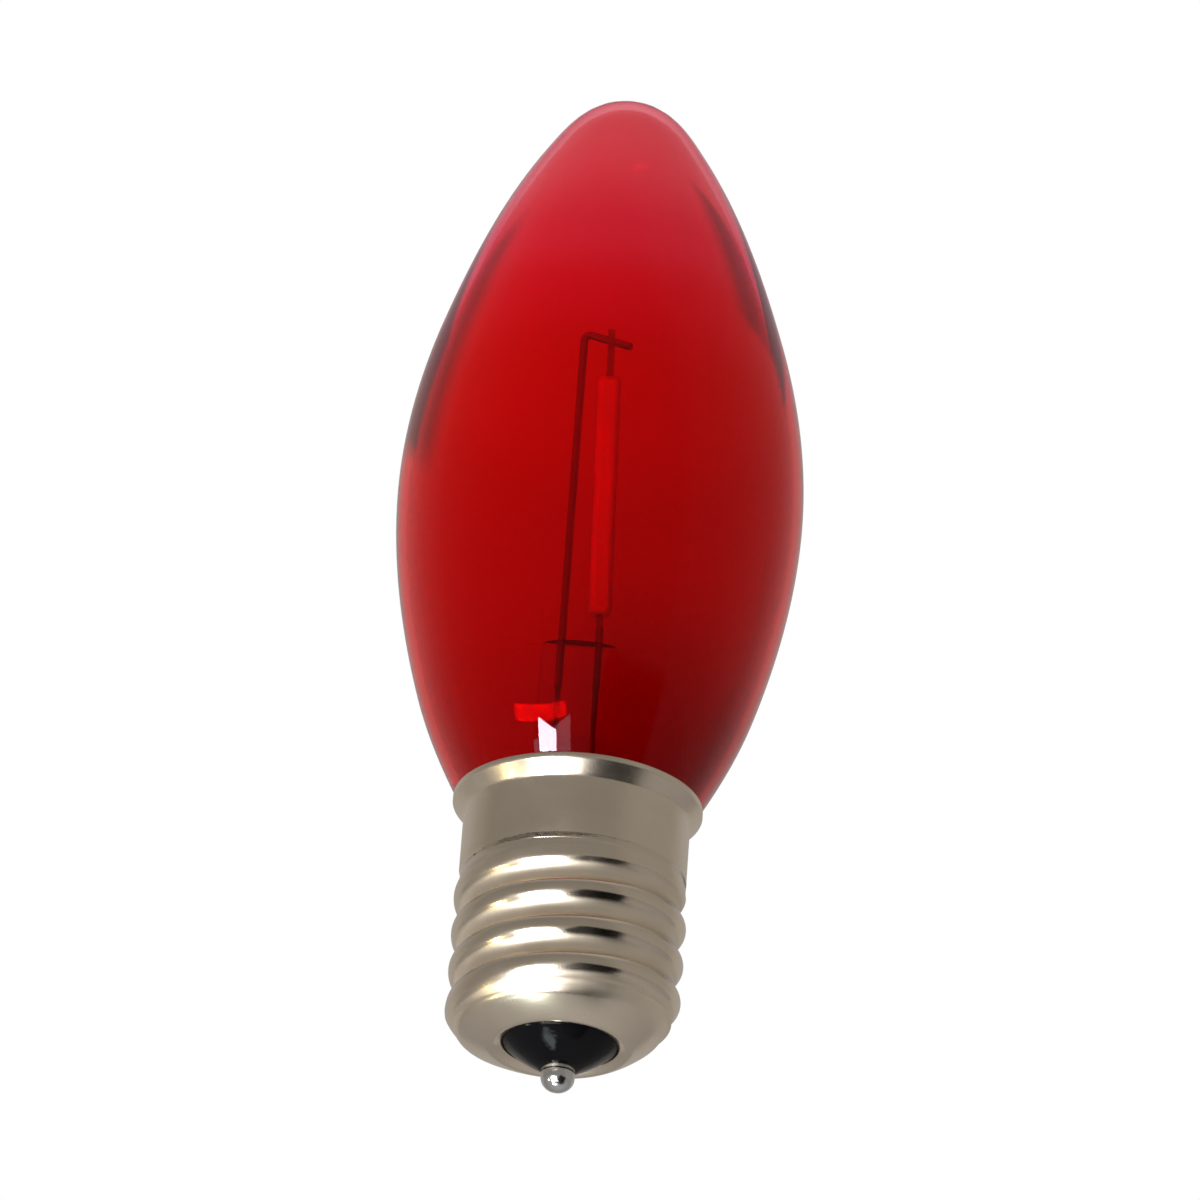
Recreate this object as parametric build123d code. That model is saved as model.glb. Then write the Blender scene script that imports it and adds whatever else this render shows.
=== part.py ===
from build123d import *
import math
import os

# Red flame-shaped filament lamp on an intermediate screw base.
# Millimetres. The lamp stands on its own axis: the origin is the tip of the centre contact,
# +Z runs along the axis to the point of the glass, and -Y is the side with the filament's chips.

# Screw shell: one piece of thin plated sheet, spun and then rolled to a knuckle thread
shell_sheet = 0.25
thread_pitch = 25.4 / 9
thread_crest_radius = 8.2
thread_depth = 0.58
thread_crest_height = 7.3  # of one crest on the +X side
thread_low = 5.3
thread_high = 15.4
thread_fade = 1.1
thread_relief = 0.12
collar_inside_crest = 0.22
collar_length = 4.25
waist_pinch = 0.02
rim_flare = 0.82
rim_rise = 1.0  # from the waist to the widest place of the flare
lip_rise = 0.45
lip_round = 0.1
floor_radius = 12.3
shoulder_round = 1.3
waist_round = 0.12
shell_hole_radius = 4.05
floor_turn_width = 0.75  # the floor turns up a little round its hole
floor_turn_rise = 0.435
floor_turn_round = 0.5
outline_margin = 2.0
thread_root_radius = thread_crest_radius - thread_depth
collar_radius = thread_crest_radius - collar_inside_crest
waist_radius = collar_radius - waist_pinch
rim_radius = waist_radius + rim_flare
collar_height = thread_high + thread_fade
waist_height = collar_height + collar_length
rim_height = waist_height + rim_rise
lip_height = rim_height + lip_rise
floor_turn_radius = shell_hole_radius + floor_turn_width

# Black glass insulator, moulded into the bottom of the shell
insulator_inside_thread = 0.77
insulator_depth = 2.8
nose_radius = 1.3
nose_height = 1.7
nose_length = 1.9
nose_bulge = 0.12
insulator_radius = thread_root_radius - insulator_inside_thread
hole_edge_height = nose_height + nose_length
insulator_top = hole_edge_height + insulator_depth
floor_centre_height = hole_edge_height - floor_turn_rise + math.sqrt(floor_radius**2 - floor_turn_radius**2)

# Centre contact: an eyelet with a solder bead over its end
eyelet_radius = 0.8
eyelet_bore_radius = 0.5
eyelet_flange_radius = 1.2
eyelet_flange = 0.25
bead_radius = 1.2
bead_belly_height = 1.05
solder_plug_top = 2.6

# Blown glass envelope: places on its outside as radius, height and slope from the axis in degrees
glass_wall = 0.7
neck_bottom = 14.6
neck_below_lip = 3.9
flare_below_lip = 3.08
flare_start = 0.15
rim_clearance = 0.08
cement_thickness = 1.13
neck_radius = collar_radius - shell_sheet - cement_thickness
glass_outside = [
    (neck_radius, lip_height - neck_below_lip, 0),
    (neck_radius + flare_start, lip_height - flare_below_lip, 27.5),
    (rim_radius - shell_sheet - rim_clearance, lip_height, 28.5),
    (11.88, 30.05, 16.7),
    (14.3, 45.0, 0),
    (12.1, 58.0, -18.0),
    (5.85, 72.1, -33),
    (3.35, 75.3, -50),
    (0, 76.6, -90),
]

# Clear glass stem: flared tube, pinched flat around the wires, with the exhaust tube inside it
stem_wall = 0.6
stem_flare_round = 2.4
stem_tube_radius = 3.2
stem_tube_top = 24.5
stem_cone_length = 3.0
pinch_length = 6.8
pinch_width = 5.4
pinch_depth = 2.5
pinch_thickness = 2.1
exhaust_radius = 0.9
exhaust_bore_radius = 0.5
exhaust_tip_height = 11.6
exhaust_bore_bottom = 12.0
pinch_bottom = stem_tube_top + stem_cone_length
pinch_top = pinch_bottom + pinch_length
exhaust_port_height = pinch_bottom - stem_cone_length / 2

# Wires: support wires above the pinch, thin seal wires inside it, thinner leads below it
long_wire_x = -2.0
short_wire_x = 0.62
long_wire_radius = 0.275
short_wire_radius = 0.25
seal_wire_radius = 0.2
lead_radius = 0.16
seal_above_pinch_bottom = 0.5
seal_below_pinch_top = 3.4
seal_bottom = pinch_bottom + seal_above_pinch_bottom
seal_top = pinch_top - seal_below_pinch_top
hook_below_tab_top = 0.6
hook_crossing_x = 0.4
hook_crossing_fall = 0.55
hook_end_x = 1.3
hook_end_forward = 0.5
hook_end_fall = 0.45
hook_round = 0.45
weld_length = 1.0
weld_flat = 0.05

# Filament: light-emitting chips on a rigid strip in a silicone coat, with a metal tab at each end
filament_bottom_x = 0.53
filament_top_x = 0.0
coat_length = 18.3
coat_width = 1.6
coat_thickness = 1.3
coat_round = 0.5
coat_end_taper = 0.35
coat_end_inset = 0.2
coat_over_strip = 0.6
strip_width = 0.8
strip_thickness = 0.4
tab_width = 0.5
tab_thickness = 0.15
tab_above_pinch = 0.4
lower_tab_reach = 2.2
upper_tab_reach = 3.8
lower_tab_bottom = pinch_top + tab_above_pinch
coat_bottom = lower_tab_bottom + lower_tab_reach
coat_top = coat_bottom + coat_length
strip_bottom = coat_bottom + coat_over_strip
strip_top = coat_top - coat_over_strip
upper_tab_top = coat_top + upper_tab_reach
chip_count = 20
chip_width = 0.5
chip_length = 0.45
chip_thickness = 0.12
chip_margin = 0.7

# Rectifier board, lying on the insulator
board_inside_insulator = 0.25
board_thickness = 0.8
hole_clearance = 0.03
left_pad = (-3.4, 0.1)
right_pad = (2.4, 0.1)
lead_turn_top = 13.0
lead_turn_bottom = 10.6
lead_round = 0.8
lead_stub = 0.1
pad_joint_radius = 0.55
pad_joint_height = 0.4
rectifier_size = (3.8, 3.4, 1.4)
rectifier_place = (0, 3.6)
rectifier_leg = (0.5, 0.8, 0.3)
rectifier_leg_spread = 1.2
rectifier_lift = 0.1
resistor_size = (1.6, 3.0, 0.6)
resistor_places = [(-2.6, -3.1), (2.6, -3.1)]
capacitor_size = (2.5, 3.2, 1.6)
capacitor_place = (0, -3.2)

# Wire from the board up to the inside of the shell's collar
shell_lead_bearing = 168
shell_lead_pad_inset = 0.8
shell_lead_from_collar = 1.03
shell_lead_turn = 9.6
shell_joint_rise = 0.85
shell_joint_size = 0.5
shell_joint_inset = 0.3

# Cement between the neck of the glass and the collar
cement_rise = 1.55
cement_below_waist = 0.6
cement_bottom = collar_height + cement_rise
cement_top = waist_height - cement_below_waist

hook_corner_height = upper_tab_top - hook_below_tab_top
hook_crossing_height = hook_corner_height - hook_crossing_fall
hook_end_height = hook_crossing_height - hook_end_fall
short_wire_top = lower_tab_bottom + weld_length
shell_joint_height = collar_height + shell_joint_rise
board_radius = insulator_radius - board_inside_insulator
shell_lead_pad_radius = board_radius - shell_lead_pad_inset
shell_lead_outer_radius = collar_radius - shell_lead_from_collar
board_bottom = insulator_top
board_top = board_bottom + board_thickness
wire_y = -tab_thickness / 2 - long_wire_radius + weld_flat
filament_tilt = math.degrees(math.atan((filament_top_x - filament_bottom_x) / (coat_top - coat_bottom)))
mount_x = (long_wire_x + short_wire_x) / 2


def spun(outline):
    """Solid of revolution about Z of a flat outline drawn as radius and height."""
    return revolve(Plane.XZ * outline, Axis.Z)


def band(radius_in, radius_out, low, high):
    """Rectangle in radius and height."""
    width, height = radius_out - radius_in, high - low
    return Pos(radius_in + width / 2, low + height / 2) * Rectangle(width, height)


def post(radius, low, high, x=0.0, y=0.0):
    """Upright cylinder between two heights."""
    return Pos(x, y, low) * extrude(Circle(radius), high - low)


def slab(size, low, place):
    """Upright box of a size with its underside at a height."""
    return Pos(place[0], place[1], low + size[2] / 2) * Box(*size)


def swept(radius, path):
    """Round wire along a path."""
    return sweep(Plane(origin=path @ 0, z_dir=path % 0) * Circle(radius), path)


def floor_height(radius):
    """Height of the outside of the shell's domed floor at a radius."""
    return floor_centre_height - math.sqrt(floor_radius**2 - radius**2)


def shell_outline(inset):
    """Outline of the unthreaded shell's outside, moved inwards by inset and cut off at the axis and lip."""
    wall = thread_root_radius - thread_relief
    over = lip_height + outline_margin
    side = Polyline(
        (wall, floor_height(wall)),
        (wall, thread_high),
        (collar_radius, collar_height),
        (waist_radius, waist_height),
    )
    flare = ThreePointArc(
        (waist_radius, waist_height),
        (
            waist_radius + (rim_radius - waist_radius) * 0.54,
            waist_height + (rim_height - waist_height) * 0.46,
        ),
        (rim_radius, rim_height),
    )
    turn = (floor_turn_radius, floor_height(floor_turn_radius))
    back = Polyline(
        (rim_radius, rim_height),
        (rim_radius, over),
        (-outline_margin, over),
        (-outline_margin, hole_edge_height),
        (shell_hole_radius, hole_edge_height),
        turn,
    )
    middle = (turn[0] + wall) / 2
    dome = ThreePointArc(turn, (middle, floor_height(middle)), (wall, floor_height(wall)))
    outline = make_face(Wire([*side.edges(), flare.edge(), *back.edges(), dome.edge()]))
    for place, size in (
        ((wall, floor_height(wall)), shoulder_round),
        (turn, floor_turn_round),
        ((waist_radius, waist_height), waist_round),
    ):
        outline = fillet(outline.vertices().sort_by_distance((*place, 0))[0], size)
    if inset:
        outline = offset(outline, amount=-inset, kind=Kind.INTERSECTION)
    return outline & band(0, 2 * rim_radius, 0, lip_height)


def thread_section(inset, low, turns):
    """Radial section of the thread: knuckle arcs that run into each other, moved inwards by inset."""
    depth = thread_crest_radius - thread_root_radius
    half_pitch = thread_pitch / 2
    both_arcs = (half_pitch**2 + depth**2) / (2 * depth)
    join = (both_arcs / 2 - inset) / both_arcs
    join_radius = thread_crest_radius - both_arcs / 2 + (both_arcs - depth) * join
    core = thread_root_radius / 2
    edges = []
    for turn in range(turns):
        height = low + turn * thread_pitch
        start = (join_radius, height - half_pitch * join)
        end = (join_radius, height + half_pitch * join)
        following = (join_radius, start[1] + thread_pitch)
        crest = (thread_crest_radius - inset, height)
        root = (thread_root_radius - inset, height + half_pitch)
        edges.append(ThreePointArc(start, crest, end).edge())
        edges.append(ThreePointArc(end, root, following).edge())
    bottom = low - half_pitch * join
    top = bottom + turns * thread_pitch
    closing = Polyline((join_radius, top), (core, top), (core, bottom), (join_radius, bottom))
    return Plane.XZ * make_face(Wire([*edges, *closing.edges()]))


def threaded_core(inset):
    """The thread section carried up a helix for half a turn, with the same again for the other half."""
    low = thread_crest_height - thread_pitch * math.ceil((thread_crest_height - thread_low) / thread_pitch + 2)
    turns = math.ceil((collar_height - low) / thread_pitch) + 2
    helix = Edge.make_helix(thread_pitch, thread_pitch / 2, thread_root_radius)
    half = Solid.sweep(thread_section(inset, low, turns).face(), helix, is_frenet=True)
    return half + Pos(0, 0, thread_pitch / 2) * Rot(0, 0, 180) * half


def thread_limits(inset):
    """Turned outline in which the thread runs out into the plain wall at both ends."""
    crest = thread_crest_radius + thread_relief
    wall = thread_root_radius - thread_relief
    low, high = thread_low - thread_fade, collar_height
    outline = make_face(
        Polyline(
            (-outline_margin, low - 1),
            (wall - 1, low - 1),
            (wall - 1, low),
            (crest, thread_low + thread_fade / 2),
            (crest, thread_high - thread_fade / 2),
            (wall - 1, high),
            (-outline_margin, high),
            close=True,
        )
    )
    if inset:
        outline = offset(outline, amount=-inset, kind=Kind.INTERSECTION)
    return outline & band(0, 2 * crest, 0, 2 * high)


def shell_form(inset):
    """All that the shell's outer surface (inset 0) or its inner surface (one sheet in) encloses."""
    return spun(shell_outline(inset)) + (threaded_core(inset) & spun(thread_limits(inset)))


def screw_shell():
    """Rolled sheet shell, open at the rim and at the hole in its floor."""
    mouth = post(rim_radius - shell_sheet, rim_height, 2 * lip_height)
    hole = post(shell_hole_radius, 0, thread_low)
    shell = shell_form(0) - shell_form(shell_sheet) - mouth - hole
    lip = shell.edges().filter_by(GeomType.CIRCLE).group_by(Axis.Z)[-1].sort_by(SortBy.RADIUS)[-1]
    return fillet(lip, lip_round)


def base_insulator():
    """Insulator: a ring on the shell's floor, with a bulged nose through the hole down to the eyelet."""
    ring = shell_outline(shell_sheet) & band(0, insulator_radius, 0, insulator_top)
    foot, heel = (nose_radius, nose_height), (shell_hole_radius, hole_edge_height)
    slope = math.atan2(heel[1] - foot[1], heel[0] - foot[0])
    middle = (
        (foot[0] + heel[0]) / 2 + nose_bulge * math.sin(slope),
        (foot[1] + heel[1]) / 2 - nose_bulge * math.cos(slope),
    )
    side = ThreePointArc(foot, middle, heel)
    rest = Polyline(heel, (heel[0], thread_low), (0, thread_low), (0, foot[1]), foot)
    nose = make_face(Wire([side.edge(), *rest.edges()]))
    return spun((ring + nose) - band(0, eyelet_radius, 0, insulator_top))


def centre_contact():
    """Eyelet through the insulator, with its flange under the nose."""
    flange = band(0, eyelet_flange_radius, nose_height - eyelet_flange, nose_height)
    tube = band(0, eyelet_radius, nose_height - eyelet_flange, insulator_top)
    return spun((flange + tube) - band(0, eyelet_bore_radius, 0, insulator_top))


def centre_solder(lead):
    """Solder bead over the eyelet's end, running up into its bore around the lead."""
    top = nose_height - eyelet_flange
    drop = EllipticalCenterArc((0, bead_belly_height), bead_radius, bead_belly_height, 270, arc_size=90)
    rest = Polyline(drop @ 1, (eyelet_flange_radius, top), (0, top), drop @ 0)
    bead = make_face(Wire([drop.edge(), *rest.edges()]))
    return spun(bead + band(0, eyelet_bore_radius, top - eyelet_flange, solder_plug_top)) - lead


def glass_curve(inset):
    """Curve of the envelope's outside from neck to tip, moved inwards by inset."""
    points, tangents = [], []
    for radius, height, slope in glass_outside:
        angle = math.radians(slope)
        points.append((radius - inset * math.cos(angle), height + inset * math.sin(angle)))
        tangents.append((math.sin(angle), math.cos(angle)))
    points[-1] = (0, points[-1][1])
    return Spline(*points, tangents=tangents)


def glass_form():
    """All that the outside of the envelope encloses."""
    outside = glass_curve(0)
    rest = Polyline(outside @ 1, (0, neck_bottom), (neck_radius, neck_bottom), outside @ 0)
    return spun(make_face(Wire([outside.edge(), *rest.edges()])))


def glass_envelope():
    """Blown envelope, open at the bottom of its neck."""
    outside, inside = glass_curve(0), glass_curve(glass_wall)
    inner_neck = neck_radius - glass_wall
    neck = Polyline(inside @ 0, (inner_neck, neck_bottom), (neck_radius, neck_bottom), outside @ 0)
    tip = Line(outside @ 1, inside @ 1)
    return spun(make_face(Wire([*neck.edges(), outside.edge(), tip.edge(), inside.edge()])))


def glass_stem(wires):
    """Stem: flange under the neck, flared tube, closing cone, pinch around the wires, exhaust tube."""
    flange_bottom = neck_bottom - stem_wall
    flare_radius = stem_tube_radius + stem_flare_round
    flare_height = neck_bottom + stem_flare_round
    bore = stem_tube_radius - stem_wall
    share = math.sqrt(0.5)
    edges = Polyline(
        (flare_radius, flange_bottom), (neck_radius, flange_bottom), (neck_radius, neck_bottom), (flare_radius, neck_bottom)
    ).edges()
    outer_round, inner_round = stem_flare_round, stem_flare_round + stem_wall
    edges.append(
        ThreePointArc(
            (flare_radius, neck_bottom),
            (flare_radius - outer_round * share, flare_height - outer_round * share),
            (stem_tube_radius, flare_height),
        ).edge()
    )
    edges += Polyline(
        (stem_tube_radius, flare_height), (stem_tube_radius, stem_tube_top), (bore, stem_tube_top), (bore, flare_height)
    ).edges()
    edges.append(
        ThreePointArc(
            (bore, flare_height),
            (flare_radius - inner_round * share, flare_height - inner_round * share),
            (flare_radius, flange_bottom),
        ).edge()
    )
    pinch_face = Ellipse(pinch_width / 2, pinch_depth / 2)
    pinch_base = Plane(origin=(mount_x, wire_y, pinch_bottom))
    cone = loft([Plane(origin=(0, 0, stem_tube_top)) * Circle(stem_tube_radius), pinch_base * pinch_face])
    pinch = extrude(pinch_base * pinch_face, pinch_top - pinch_bottom)
    pinch = pinch & slab((pinch_width, pinch_thickness, pinch_top), 0, (mount_x, wire_y))
    exhaust = post(exhaust_radius, exhaust_tip_height, stem_tube_top, mount_x, wire_y)
    exhaust += Pos(mount_x, wire_y, exhaust_tip_height) * Sphere(exhaust_radius)
    stem = spun(make_face(Wire(edges))) + cone + pinch + exhaust
    stem -= post(exhaust_bore_radius, exhaust_bore_bottom, exhaust_port_height, mount_x, wire_y)
    port = Plane(origin=(mount_x, wire_y, exhaust_port_height), z_dir=(0, 1, 0)) * Circle(exhaust_bore_radius)
    stem -= extrude(port, stem_tube_radius)
    for wire in wires:
        stem -= wire
    return stem


def lower_wire(x, pad):
    """Seal wire inside the pinch and the thin lead below it, down through the board."""
    seal = post(seal_wire_radius, seal_bottom, seal_top, x, wire_y)
    path = FilletPolyline(
        (x, wire_y, seal_bottom),
        (x, wire_y, lead_turn_top),
        (*pad, lead_turn_bottom),
        (*pad, board_bottom + lead_stub),
        radius=lead_round,
    )
    return seal + swept(lead_radius, path)


def weld_space(x, low, high):
    """Space of the filament tab behind a support wire, pressed a little into the wire."""
    depth = 4 * weld_flat
    return slab((2 * tab_width, depth, high - low), low, (x, depth / 2 - tab_thickness / 2))


def long_lead_wire():
    """Long support wire, hooked over in front of the upper tab, with its seal wire and lead."""
    path = FilletPolyline(
        (long_wire_x, wire_y, seal_top),
        (long_wire_x, wire_y, hook_corner_height),
        (hook_crossing_x, wire_y, hook_crossing_height),
        (hook_end_x, wire_y - hook_end_forward, hook_end_height),
        radius=hook_round,
    )
    wire = swept(long_wire_radius, path) + lower_wire(long_wire_x, left_pad)
    return wire - weld_space(filament_top_x, hook_crossing_height - tab_width, upper_tab_top)


def short_lead_wire():
    """Short support wire with its seal wire and lead."""
    reach = long_wire_radius - short_wire_radius
    top = post(short_wire_radius, seal_top, short_wire_top, short_wire_x, wire_y)
    wire = top + lower_wire(short_wire_x, right_pad)
    return wire - weld_space(short_wire_x, lower_tab_bottom, short_wire_top + reach)


def on_filament(piece):
    """Leans a piece drawn upright on the filament's own axis."""
    return Pos(filament_bottom_x, 0, coat_bottom) * Rot(0, filament_tilt, 0) * Pos(0, 0, -coat_bottom) * piece


def filament_strip():
    """Rigid strip that carries the chips."""
    return on_filament(slab((strip_width, strip_thickness, strip_top - strip_bottom), strip_bottom, (0, 0)))


def led_chips():
    """Row of chips on the front of the strip."""
    y = -(strip_thickness + chip_thickness) / 2
    first = strip_bottom + chip_margin
    step = (strip_top - chip_margin - chip_length - first) / (chip_count - 1)
    size = (chip_width, chip_thickness, chip_length)
    return [on_filament(slab(size, first + i * step, (0, y))) for i in range(chip_count)]


def terminal(low, high):
    """Flat metal tab at an end of the strip."""
    return on_filament(slab((tab_width, tab_thickness, high - low), low, (0, 0)))


def phosphor_coat(inside):
    """Silicone coat moulded round the strip, its chips and the roots of the tabs."""

    def section(height, inset):
        width, thickness = coat_width - 2 * inset, coat_thickness - 2 * inset
        return Plane(origin=(0, 0, height)) * RectangleRounded(width, thickness, coat_round - inset)

    lower, upper = coat_bottom + coat_end_taper, coat_top - coat_end_taper
    coat = extrude(section(lower, 0), upper - lower)
    coat += loft([section(coat_bottom, coat_end_inset), section(lower, 0)])
    coat += loft([section(upper, 0), section(coat_top, coat_end_inset)])
    coat = on_filament(coat)
    for piece in inside:
        coat -= piece
    return coat


def shell_lead():
    """Wire from the board out past its edge and up to the collar."""
    path = FilletPolyline(
        (shell_lead_pad_radius, 0, board_bottom + lead_stub),
        (shell_lead_pad_radius, 0, shell_lead_turn),
        (shell_lead_outer_radius, 0, shell_lead_turn + 2 * lead_round),
        (shell_lead_outer_radius, 0, shell_joint_height),
        radius=lead_round,
    )
    return Rot(0, 0, shell_lead_bearing) * swept(lead_radius, path)


def shell_solder(lead):
    """Solder joint between the shell lead and the inside of the collar."""
    drop = Pos(collar_radius - shell_sheet - shell_joint_inset, 0, shell_joint_height) * Sphere(shell_joint_size)
    inside = spun(shell_outline(shell_sheet))
    return (Rot(0, 0, shell_lead_bearing) * drop & inside) - lead


def centre_lead():
    """Wire from the board down the eyelet's bore into the bead."""
    return post(lead_radius, nose_height, board_top + pad_joint_height / 2)


def driver_board(leads):
    """Round board with a clear hole for each lead."""
    board = post(board_radius, board_bottom, board_top)
    for x, y in leads:
        board -= post(lead_radius + hole_clearance, 0, lip_height, x, y)
    return board


def board_solder_joints(leads, wires):
    """Solder cone round each lead on top of the board."""
    neck = lead_radius + hole_clearance
    cone = spun(
        make_face(
            Polyline(
                (0, board_top),
                (pad_joint_radius, board_top),
                (neck, board_top + pad_joint_height),
                (0, board_top + pad_joint_height),
                close=True,
            )
        )
    )
    joints = []
    for (x, y), wire in zip(leads, wires):
        joints.append(Pos(x, y, 0) * cone - wire)
    return joints


def bridge_rectifier():
    """Four-legged rectifier package."""
    x, y = rectifier_place
    body = slab(rectifier_size, board_top + rectifier_lift, rectifier_place)
    for side_x in (-1, 1):
        for side_y in (-1, 1):
            place = (x + side_x * rectifier_leg_spread, y + side_y * rectifier_size[1] / 2)
            body += slab(rectifier_leg, board_top, place)
    return body


def main():
    long_wire, short_wire, centre_wire = long_lead_wire(), short_lead_wire(), centre_lead()
    side_wire = shell_lead()
    bearing = math.radians(shell_lead_bearing)
    side_pad = (shell_lead_pad_radius * math.cos(bearing), shell_lead_pad_radius * math.sin(bearing))
    pads = [left_pad, right_pad, (0, 0), side_pad]
    strip, chips = filament_strip(), led_chips()
    lower_terminal, upper_terminal = terminal(lower_tab_bottom, strip_bottom), terminal(strip_top, upper_tab_top)
    cement = band(0, collar_radius, cement_bottom, cement_top) & shell_outline(shell_sheet)

    parts = {
        "screw_shell": screw_shell(),
        "base_insulator": base_insulator(),
        "centre_contact": centre_contact(),
        "centre_solder": centre_solder(centre_wire),
        "base_cement": spun(cement) - glass_form(),
        "glass_envelope": glass_envelope(),
        "glass_stem": glass_stem((long_wire, short_wire)),
        "long_lead_wire": long_wire,
        "short_lead_wire": short_wire,
        "filament_strip": strip,
        "led_chips": Compound(chips),
        "lower_terminal": lower_terminal,
        "upper_terminal": upper_terminal,
        "phosphor_coat": phosphor_coat([strip, *chips, lower_terminal, upper_terminal]),
        "driver_board": driver_board(pads),
        "bridge_rectifier": bridge_rectifier(),
        "series_resistors": Compound([slab(resistor_size, board_top, place) for place in resistor_places]),
        "smoothing_capacitor": slab(capacitor_size, board_top, capacitor_place),
        "centre_lead": centre_wire,
        "shell_lead": side_wire,
        "shell_solder": shell_solder(side_wire),
        "board_solder_joints": Compound(board_solder_joints(pads, [long_wire, short_wire, centre_wire, side_wire])),
    }
    os.makedirs("parts", exist_ok=True)
    for name, shape in parts.items():
        export_step(shape, f"parts/{name}.step")


main()
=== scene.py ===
import math

import bmesh
import bpy
from mathutils import Matrix, Vector


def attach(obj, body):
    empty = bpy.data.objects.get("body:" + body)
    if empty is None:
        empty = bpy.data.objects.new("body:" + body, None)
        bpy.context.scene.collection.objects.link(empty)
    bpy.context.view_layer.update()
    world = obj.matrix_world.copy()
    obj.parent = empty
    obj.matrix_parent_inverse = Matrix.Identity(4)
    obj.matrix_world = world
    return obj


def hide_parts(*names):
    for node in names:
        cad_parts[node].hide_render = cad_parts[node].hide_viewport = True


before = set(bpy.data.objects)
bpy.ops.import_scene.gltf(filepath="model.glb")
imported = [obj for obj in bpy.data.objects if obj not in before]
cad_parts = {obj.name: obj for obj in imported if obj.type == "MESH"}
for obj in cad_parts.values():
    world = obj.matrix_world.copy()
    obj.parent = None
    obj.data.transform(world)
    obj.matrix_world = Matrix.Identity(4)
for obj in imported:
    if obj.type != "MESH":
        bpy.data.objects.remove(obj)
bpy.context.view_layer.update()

# Screw shell. One piece of thin nickel-plated sheet: a domed floor with a hole in it, a rolled
# right-hand knuckle thread, a plain collar, a pinched waist and a rim that flares out round the glass.
# The neck of the glass is cemented into its collar. Sizes are in mm, places are radius and height.

MM = 0.001
SHEET = 0.25
PITCH = 25.4 / 9
CREST, ROOT, RELIEF = 8.2, 7.62, 0.12
CREST_HEIGHT = 7.3  # of one crest on the +X side
THREAD_LOW, THREAD_HIGH, FADE = 5.3, 15.4, 1.1
COLLAR = (7.98, THREAD_HIGH + FADE)
WAIST = (7.96, 20.75)
WAIST_TURN = [(0, -0.12), (0.01, -0.03)]  # places just before the waist, from the waist
RIM = (8.78, 21.75)
RIM_BOW = (0.05, 0.1)
LIP = [(0, 21.95), (0, 22.08), (0.03, 22.16), (0.1, 22.2)]  # inset from the rim, and height
SHOULDER = 1.3
FLOOR_RADIUS, FLOOR_CENTRE = 12.3, 14.49
HOLE, HOLE_EDGE = 4.05, 3.6
HOLE_LIP = (0.2, -0.116)  # the floor's first place, from the hole's edge
FLOOR_TURN, TURN_REACH, TURN_START = 4.8, 0.35, 0.4
FLOOR_INSIDE, OUTER_FACE = 6.6, 7.4  # radii: the thread lies outside the one, its outer face the other

# The last crest ends at the collar: it rises a little less, and the groove above it is filled.
LAST_CREST_RISE = 0.07
LAST_TURN_END = 110  # bearing in degrees, from +X
FILLED_BEHIND = 0.85
FILL_START, FILL_REACH = 0.35, 0.3  # of the pitch
LOW_CREST = (-150, 50)  # bearing where the lower crest starts, and the bearings it takes
LATE_RUN_OUT = (-150, 30, 15, 60)  # start and its bearings, end and its bearings
LATE_ABOVE = 10
CAP_BLEND, FILL_BLEND, RUN_OUT_BLEND, FOOT_BLEND = 0.1, 0.3, 0.1, 0.06

# The shoulder of the floor sits a little lower on +X, where the thread starts.
LEAN_DROP, LEAN_PULL = 0.55, 0.014
LEAN_HEIGHT, LEAN_FADE = 6.4, 1.4
LEAN_INSIDE, LEAN_SPREAD, LEAN_REACH = 4.2, 3.3, 7.5


def clamped(share):
    return min(1.0, max(0.0, share))


def smooth(share):
    """Soft step from 0 to 1."""
    share = clamped(share)
    return share * share * (3 - 2 * share)


def arc(centre, radius, start, end, steps):
    """Points of a circular arc in radius and height, angles in degrees from the radius direction."""
    angles = [math.radians(start + (end - start) * i / steps) for i in range(steps + 1)]
    return [(centre[0] + radius * math.cos(a), centre[1] + radius * math.sin(a)) for a in angles]


def spaced(start, end, steps):
    """Evenly spaced points after start, up to and with end."""
    return [
        (start[0] + (end[0] - start[0]) * i / steps, start[1] + (end[1] - start[1]) * i / steps)
        for i in range(1, steps + 1)
    ]


def moved_in(points, depth):
    """A profile moved to its left by depth, as the other face of a sheet."""
    moved = []
    for i, (radius, height) in enumerate(points):
        before, after = points[max(i - 1, 0)], points[min(i + 1, len(points) - 1)]
        along = Vector((after[0] - before[0], after[1] - before[1])).normalized()
        moved.append((radius - along.y * depth, height + along.x * depth))
    return moved


def turned(points, steps, closed=True):
    """A bmesh spun about Z from a profile of radius and height in millimetres."""
    bm = bmesh.new()
    ring = [bm.verts.new((radius * MM, 0, height * MM)) for radius, height in points]
    pairs = list(zip(ring, ring[1:])) + ([(ring[-1], ring[0])] if closed else [])
    edges = [bm.edges.new(pair) for pair in pairs]
    bmesh.ops.spin(
        bm, geom=ring + edges, cent=(0, 0, 0), axis=(0, 0, 1), angle=math.tau, steps=steps, use_merge=True
    )
    bmesh.ops.remove_doubles(bm, verts=bm.verts, dist=0.001 * MM)
    bmesh.ops.recalc_face_normals(bm, faces=bm.faces)
    return bm


def piece(name, bm, material, *nodes):
    """An object of the bmesh at the origin, riding on the lamp in place of its solids."""
    mesh = bpy.data.meshes.new(name)
    bm.to_mesh(mesh)
    bm.free()
    mesh.shade_smooth()
    made = bpy.data.objects.new(name, mesh)
    bpy.context.scene.collection.objects.link(made)
    mesh.materials.append(material)
    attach(made, "root")
    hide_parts(*nodes)
    return made


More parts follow.
